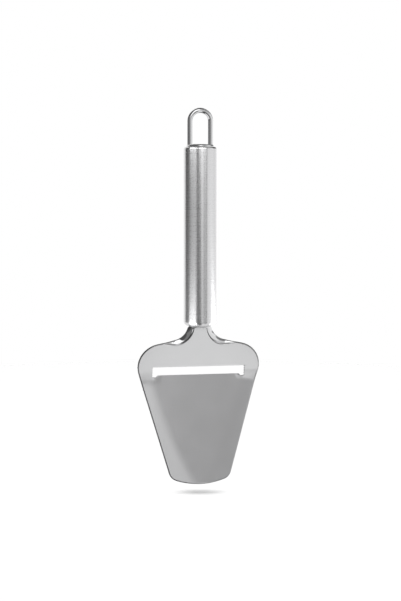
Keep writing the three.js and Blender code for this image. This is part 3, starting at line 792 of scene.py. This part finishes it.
def rounded_edge(sheet, outline, into_metal):
    """Rounds the sheet's edge along an outline, and gives the rings where face and back start."""
    insets, face_ring, back_ring, rows = [], [], [], []
    for rim, inward in zip(outline, inwards(outline, into_metal)):
        thick = thickness(*rim)
        unground = (thick - LIP_EDGE_THICKNESS) / (SHEET_THICKNESS - LIP_EDGE_THICKNESS)
        deep = min(ROLL_OFF_DEPTH, LIP_ROUND_SHARE * thick)
        wide = deep + (ROLL_OFF_WIDTH - ROLL_OFF_DEPTH) * unground
        probe = rim + inward * wide
        stretch = (face_point(*probe) - face_point(*rim)).length / wide
        inset = rim + inward * (wide / stretch)
        insets.append(inset)
        start, normal = face_point(*inset), face_normal(*inset)
        outward = face_point(*rim) - start
        outward = (outward - normal * outward.dot(normal)).normalized()
        polish = polish_at(*inset)
        row = []
        for depth, first in ((deep, 0), (thick - deep, 1)):
            for step in range(ROUND_STEPS + 1):
                turn = QUARTER * (first + step / ROUND_STEPS)
                up, out = normal * math.cos(turn), outward * math.sin(turn)
                direction = (up / deep + out / wide).normalized()
                # Share of the edge wall with rough shear marks and a painted shade that draws a dark
                # outline
                shear_marks_and_painted_outline = smoothstep(direction.dot(outward), SHEAR_AND_PAINTED_OUTLINE_START, SHEAR_AND_PAINTED_OUTLINE_FULL) * unground
                place = start - normal * depth + up * deep + out * wide
                row.append(sheet.add(place, direction, polish, shear_marks_and_painted_outline))
        rows.append(row)
        face_ring.append(row[0])
        back_ring.append(row[-1])
    for i, row in enumerate(rows):
        last = rows[i - 1]
        for j in range(len(row) - 1):
            quad = (last[j], row[j], row[j + 1], last[j + 1])
            sheet.faces.append(quad if into_metal > 0 else quad[::-1])
    return insets, face_ring, back_ring


def pressed_blade(finish):
    """The whole blade: pressed sheet with neck flanges, slot, ground lip and tang."""
    sheet = Sheet()
    outer, slot = mirrored(half_outline()), slot_outline()
    outer_in, outer_face, outer_back = rounded_edge(sheet, outer, 1)
    slot_in, slot_face, slot_back = rounded_edge(sheet, slot, -1)
    flat = outer_in + slot_in
    rings = [(0, len(outer_in)), (len(outer_in), len(flat))]
    edges = [(i, i + 1 if i + 1 < end else start) for start, end in rings for i in range(start, end)]
    flat += points_inside([outer_in, slot_in])
    flat, _, triangles, origins, _, _ = delaunay_2d_cdt(flat, edges, [], 1, SHEET_WELD)
    ring_face, ring_back = outer_face + slot_face, outer_back + slot_back
    face_index, back_index = {}, {}
    for number, origin in enumerate(origins):
        first = origin[0] if origin else len(ring_face)
        if first < len(ring_face):
            face_index[number], back_index[number] = ring_face[first], ring_back[first]
    for triangle in triangles:
        middle = sum((flat[i] for i in triangle), Vector((0, 0))) / len(triangle)
        if inside(middle, slot):
            continue
        for i in triangle:
            if i not in face_index:
                x, distance = flat[i]
                polish = polish_at(x, distance)
                face_index[i] = sheet.add(face_point(x, distance), face_normal(x, distance), polish)
                back_index[i] = sheet.add(back_point(x, distance), back_normal(x, distance), polish)
        sheet.faces.append(tuple(face_index[i] for i in reversed(triangle)))
        sheet.faces.append(tuple(back_index[i] for i in triangle))
    piece = sheet_object(sheet, finish)
    return standing_for(piece, "blade")


def sheet_object(sheet, finish):
    """The gathered sheet as an object, with its outward directions, the polish of its flanges, and
    where its edges are sheared and painted dark.
    """
    mesh = bpy.data.meshes.new("pressed_blade")
    mesh.from_pydata(sheet.points, [], sheet.faces)
    for name, values in (("polish", sheet.polish), ("shear_marks_and_painted_outline", sheet.shear_marks_and_painted_outline)):
        mesh.attributes.new(name, "FLOAT", "POINT").data.foreach_set("value", values)
    mesh.materials.append(finish)
    mesh.shade_smooth()
    mesh.normals_split_custom_set_from_vertices(sheet.normals)
    piece = bpy.data.objects.new("pressed_blade", mesh)
    bpy.context.scene.collection.objects.link(piece)
    return piece


# Finishes

def steel(name, anisotropic=0.0, rotation=0.0):
    """A metal finish: its tree, its shader and its Object coordinates."""
    material = bpy.data.materials.new(name)
    material.use_nodes = True
    tree = material.node_tree
    shader = tree.nodes["Principled BSDF"]
    shader.inputs["Metallic"].default_value = 1.0
    shader.inputs["Anisotropic"].default_value = anisotropic
    shader.inputs["Anisotropic Rotation"].default_value = rotation
    place = add(tree, "ShaderNodeTexCoord").outputs["Object"]
    return material, tree, shader, place


def stretched_noise(tree, place, scale, detail=3.0):
    """Noise at so many grains to the metre along each axis."""
    moved = add(tree, "ShaderNodeMapping", {"Vector": place, "Scale": scale})
    return add(tree, "ShaderNodeTexNoise", {
        "Vector": moved.outputs[0], "Scale": 1.0, "Detail": detail}).outputs["Fac"]


def tint(tree, value, dark, light):
    """Grey steel between two brightnesses."""
    grey = remap(tree, value, TINT_LOW, TINT_HIGH, dark, light)
    return add(tree, "ShaderNodeCombineColor", {
        "Red": grey, "Green": grey, "Blue": calc(tree, "MULTIPLY", grey, BLUE_TINT)}).outputs[0]


def gloss(tree, value, smoothest, dullest):
    """Roughness between two limits."""
    return remap(tree, value, NOISE_LOW, NOISE_HIGH, smoothest, dullest)


def blend(tree, share, below, above, kind="FLOAT"):
    """One value laid over another by a share."""
    return add(tree, "ShaderNodeMix", {"Factor": share, "A": below, "B": above}, data_type=kind)


def grain_bump(tree, shader, height, strength, depth):
    """Fine relief of a grain."""
    bump = add(tree, "ShaderNodeBump", {"Height": height, "Strength": strength, "Distance": depth})
    tree.links.new(bump.outputs[0], shader.inputs["Normal"])


def satin_tube_finish():
    """Satin steel brushed round the tube, with a slightly uneven grain."""
    material, tree, shader, place = steel("satin_tube", anisotropic=0.75, rotation=0.25)
    tangent = add(tree, "ShaderNodeTangent", direction_type="RADIAL", axis="Z")
    tree.links.new(tangent.outputs[0], shader.inputs["Tangent"])
    rings = stretched_noise(tree, place, (60, 60, 6000))
    grain = stretched_noise(tree, place, (2200, 2200, 2600))
    grain_share, ring_share = 0.6, 0.4
    mixed = calc(tree, "MULTIPLY_ADD", grain, grain_share, calc(tree, "MULTIPLY", rings, ring_share))
    tree.links.new(tint(tree, mixed, dark=0.59, light=0.63), shader.inputs["Base Color"])
    tree.links.new(gloss(tree, mixed, smoothest=0.26, dullest=0.32), shader.inputs["Roughness"])
    grain_bump(tree, shader, rings, strength=0.03, depth=0.02 * MM)
    return material


def brushed_sheet_finish():
    """Fine satin plates with a soft grain along the blade, polished flanges at the neck, and rough
    sheared edges painted near-black as a painted dark outline.
    """
    material, tree, shader, place = steel("brushed_sheet")
    strokes = stretched_noise(tree, place, (2600, 900, 120))
    cloud = stretched_noise(tree, place, (90, 90, 90), detail=2.0)
    mixed = calc(tree, "MULTIPLY_ADD", strokes, 0.5, calc(tree, "MULTIPLY", cloud, 0.5))
    polish = add(tree, "ShaderNodeAttribute", attribute_name="polish").outputs["Fac"]
    shear_marks_and_painted_outline = add(tree, "ShaderNodeAttribute", attribute_name="shear_marks_and_painted_outline").outputs["Fac"]
    satin = gloss(tree, mixed, smoothest=0.17, dullest=0.2)
    # Roughness of the sheared edges, and the near-black colour of their painted shade outline
    polished_rough, sheared_rough, painted_outline_tint = 0.09, 0.4, (0.1, 0.1, 0.102, 1)
    face = blend(tree, polish, satin, polished_rough)
    rough = blend(tree, shear_marks_and_painted_outline, face.outputs[0], sheared_rough)
    tree.links.new(rough.outputs[0], shader.inputs["Roughness"])
    # The sheared edge walls are painted near-black: painted shade that draws the blade's dark outline
    colour = blend(tree, shear_marks_and_painted_outline, tint(tree, mixed, dark=0.605, light=0.62), painted_outline_tint, kind="RGBA")
    tree.links.new(colour.outputs["Result"], shader.inputs["Base Color"])
    grain_bump(tree, shader, strokes, strength=0.01, depth=0.01 * MM)
    return material


def polished_wire_finish():
    """Polished drawn wire with faint marks."""
    material, tree, shader, place = steel("polished_wire")
    marks = stretched_noise(tree, place, (2500, 2500, 120))
    tree.links.new(tint(tree, marks, dark=0.62, light=0.66), shader.inputs["Base Color"])
    tree.links.new(gloss(tree, marks, smoothest=0.06, dullest=0.1), shader.inputs["Roughness"])
    grain_bump(tree, shader, marks, strength=0.03, depth=0.02 * MM)
    return material


def turned_disc_finish():
    """Smooth steel with the fine rings of turning."""
    material, tree, shader, place = steel("turned_disc")
    axes = add(tree, "ShaderNodeSeparateXYZ", {"Vector": place}).outputs
    radius = calc(tree, "SQRT", calc(tree, "ADD", calc(tree, "POWER", axes["X"], 2.0),
                                     calc(tree, "POWER", axes["Y"], 2.0)))
    ring_place = add(tree, "ShaderNodeCombineXYZ", {"X": radius, "Y": axes["Z"]}).outputs[0]
    rings = stretched_noise(tree, ring_place, (6000, 300, 1))
    tree.links.new(tint(tree, rings, dark=0.57, light=0.64), shader.inputs["Base Color"])
    tree.links.new(gloss(tree, rings, smoothest=0.2, dullest=0.28), shader.inputs["Roughness"])
    grain_bump(tree, shader, rings, strength=0.06, depth=0.02 * MM)
    return material


def weld_finish():
    """Dull weld metal with heat tint and ripples."""
    material, tree, shader, place = steel("weld_metal")
    ripple = stretched_noise(tree, place, (900, 900, 900))
    stain = stretched_noise(tree, place, (300, 300, 300))
    tree.links.new(tint(tree, stain, dark=0.2, light=0.36), shader.inputs["Base Color"])
    tree.links.new(gloss(tree, ripple, smoothest=0.42, dullest=0.62), shader.inputs["Roughness"])
    grain_bump(tree, shader, ripple, strength=0.4, depth=0.1 * MM)
    return material


# Studio: camera, floor and the light all round

def towards_place(turn, height):
    """Direction at an angle to the right of the front and an angle above the horizon."""
    return Vector((
        math.sin(turn) * math.cos(height), -math.cos(turn) * math.cos(height), math.sin(height)))


def set_camera():
    """The camera at the photograph's angle, with the object framed as there."""
    to_camera = towards_place(CAMERA_AZIMUTH, CAMERA_ELEVATION)
    level = Vector((math.cos(CAMERA_AZIMUTH), math.sin(CAMERA_AZIMUTH), 0))
    upright = to_camera.cross(level)
    right = level * math.cos(CAMERA_ROLL) + upright * math.sin(CAMERA_ROLL)
    up = to_camera.cross(right)
    data = bpy.data.cameras.new("camera")
    data.lens = CAMERA_LENS
    data.sensor_width = CAMERA_SENSOR
    data.shift_x = -OFF_CENTRE_RIGHT
    data.shift_y = OFF_CENTRE_DOWN
    camera = bpy.data.objects.new("camera", data)
    bpy.context.scene.collection.objects.link(camera)
    turn = Matrix((right, up, to_camera)).transposed().to_4x4()
    camera.matrix_world = Matrix.Translation(CAMERA_TARGET + to_camera * CAMERA_DISTANCE) @ turn
    bpy.context.scene.camera = camera


def pale_floor():
    """Round pale floor under the tip."""
    shape = bmesh.new()
    bmesh.ops.create_circle(shape, cap_ends=True, segments=FLOOR_SIDES, radius=FLOOR_RADIUS,
                            matrix=Matrix.Translation((0, 0, BLADE_LOW.z - FLOOR_DROP)))
    floor = object_from(shape, "floor")
    material = bpy.data.materials.new("pale_floor")
    material.use_nodes = True
    shader = material.node_tree.nodes["Principled BSDF"]
    shader.inputs["Base Color"].default_value = (FLOOR_GREY, FLOOR_GREY, FLOOR_GREY, 1)
    shader.inputs["Roughness"].default_value = 1.0
    shader.inputs["Specular IOR Level"].default_value = 0.0
    floor.data.materials.append(material)
    floor.visible_glossy = False


def with_card(tree, turn, height, below, card):
    """The light that comes from all round, with a soft-edged card laid over it."""
    left, right, low, high, side_softness, end_softness, bright = card
    from_middle = calc(tree, "ABSOLUTE", calc(tree, "SUBTRACT", turn, (left + right) / 2))
    from_level = calc(tree, "ABSOLUTE", calc(tree, "SUBTRACT", height, (low + high) / 2))
    width, depth = (right - left) / 2, (high - low) / 2
    across = remap(tree, from_middle, width - side_softness / 2, width + side_softness / 2, 1.0, 0.0)
    along = remap(tree, from_level, depth - end_softness / 2, depth + end_softness / 2, 1.0, 0.0)
    return blend(tree, calc(tree, "MULTIPLY", across, along), below, bright).outputs[0]


def studio_light():
    """A white tent with cards and dark gaps for the reflections, and a plain white backdrop."""
    world = bpy.data.worlds.new("studio")
    bpy.context.scene.world = world
    world.use_nodes = True
    tree = world.node_tree
    tree.nodes.clear()
    axes = add(tree, "ShaderNodeSeparateXYZ", {
        "Vector": add(tree, "ShaderNodeTexCoord").outputs["Generated"]}).outputs
    angle = calc(tree, "ARCTAN2", axes["X"], calc(tree, "MULTIPLY", axes["Y"], -1.0))
    turn = calc(tree, "DEGREES", angle)
    height = calc(tree, "DEGREES", calc(tree, "ARCSINE", axes["Z"]))
    bright = TENT_BRIGHTNESS
    for card in CARDS:
        bright = with_card(tree, turn, height, bright, card)
    seen = add(tree, "ShaderNodeLightPath").outputs["Is Camera Ray"]
    shown = blend(tree, seen, bright, 1.0)
    light = add(tree, "ShaderNodeBackground", {"Color": (1, 1, 1, 1), "Strength": shown.outputs[0]})
    add(tree, "ShaderNodeOutputWorld", {"Surface": light.outputs[0]})
    world.cycles_visibility.diffuse = False
    bpy.context.scene.view_settings.view_transform = "Standard"


def handle_lights(tube):
    """Large soft lights that only the handle takes up."""
    lit = bpy.data.collections.new("lit")
    lit.objects.link(tube)
    for turn, height, level, power in HANDLE_LIGHTS:
        towards = towards_place(math.radians(turn), math.radians(height))
        data = bpy.data.lights.new("handle_light", "AREA")
        data.shape = "RECTANGLE"
        data.size, data.size_y = HANDLE_LIGHT_SIZE
        data.energy = power
        light = bpy.data.objects.new("handle_light", data)
        light.location = Vector((0, 0, level)) + towards * HANDLE_LIGHT_DISTANCE
        light.rotation_euler = towards.to_track_quat("Z", "Y").to_euler()
        light.light_linking.receiver_collection = lit
        light.visible_camera = False
        bpy.context.scene.collection.objects.link(light)


def floor_light():
    """Light from straight above, which the floor alone takes up and only the shadow card shades."""
    shape = bmesh.new()
    ellipse = Matrix.Diagonal((*SHADOW_CARD_RADII, 1, 1))
    bmesh.ops.create_circle(shape, cap_ends=True, segments=SHADOW_CARD_SIDES, radius=1, matrix=ellipse)
    card = object_from(shape, "shadow_card")
    card.location.z = BLADE_LOW.z + SHADOW_CARD_HEIGHT
    card.visible_camera = card.visible_glossy = False
    data = bpy.data.lights.new("floor_light", "AREA")
    data.shape = "ELLIPSE"
    data.size, data.size_y = FLOOR_LIGHT_SIZE
    data.energy = FLOOR_LIGHT_POWER
    light = bpy.data.objects.new("floor_light", data)
    light.location.z = BLADE_LOW.z + FLOOR_LIGHT_HEIGHT
    light.rotation_euler.z = card.rotation_euler.z = CAMERA_AZIMUTH
    light.visible_glossy = False
    shading = bpy.data.collections.new("shading")
    shading.objects.link(card)
    light.light_linking.blocker_collection = shading
    bpy.context.scene.collection.objects.link(light)


# The slicer in its studio

TURNED_TREE = turned_tree()
WIRE_TREE = wire_tree()

set_camera()
pale_floor()
floor_light()
studio_light()

disc_finish = turned_disc_finish()
handle_lights(handle_tube(satin_tube_finish()))
rear_disc(disc_finish)
front_disc(disc_finish)
hanging_loop(polished_wire_finish())
pressed_blade(brushed_sheet_finish())
hidden_weld = weld_finish()
for node in ("tang_weld", "loop_weld_left", "loop_weld_right"):
    for material_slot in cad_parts[node].material_slots:
        material_slot.material = hidden_weld
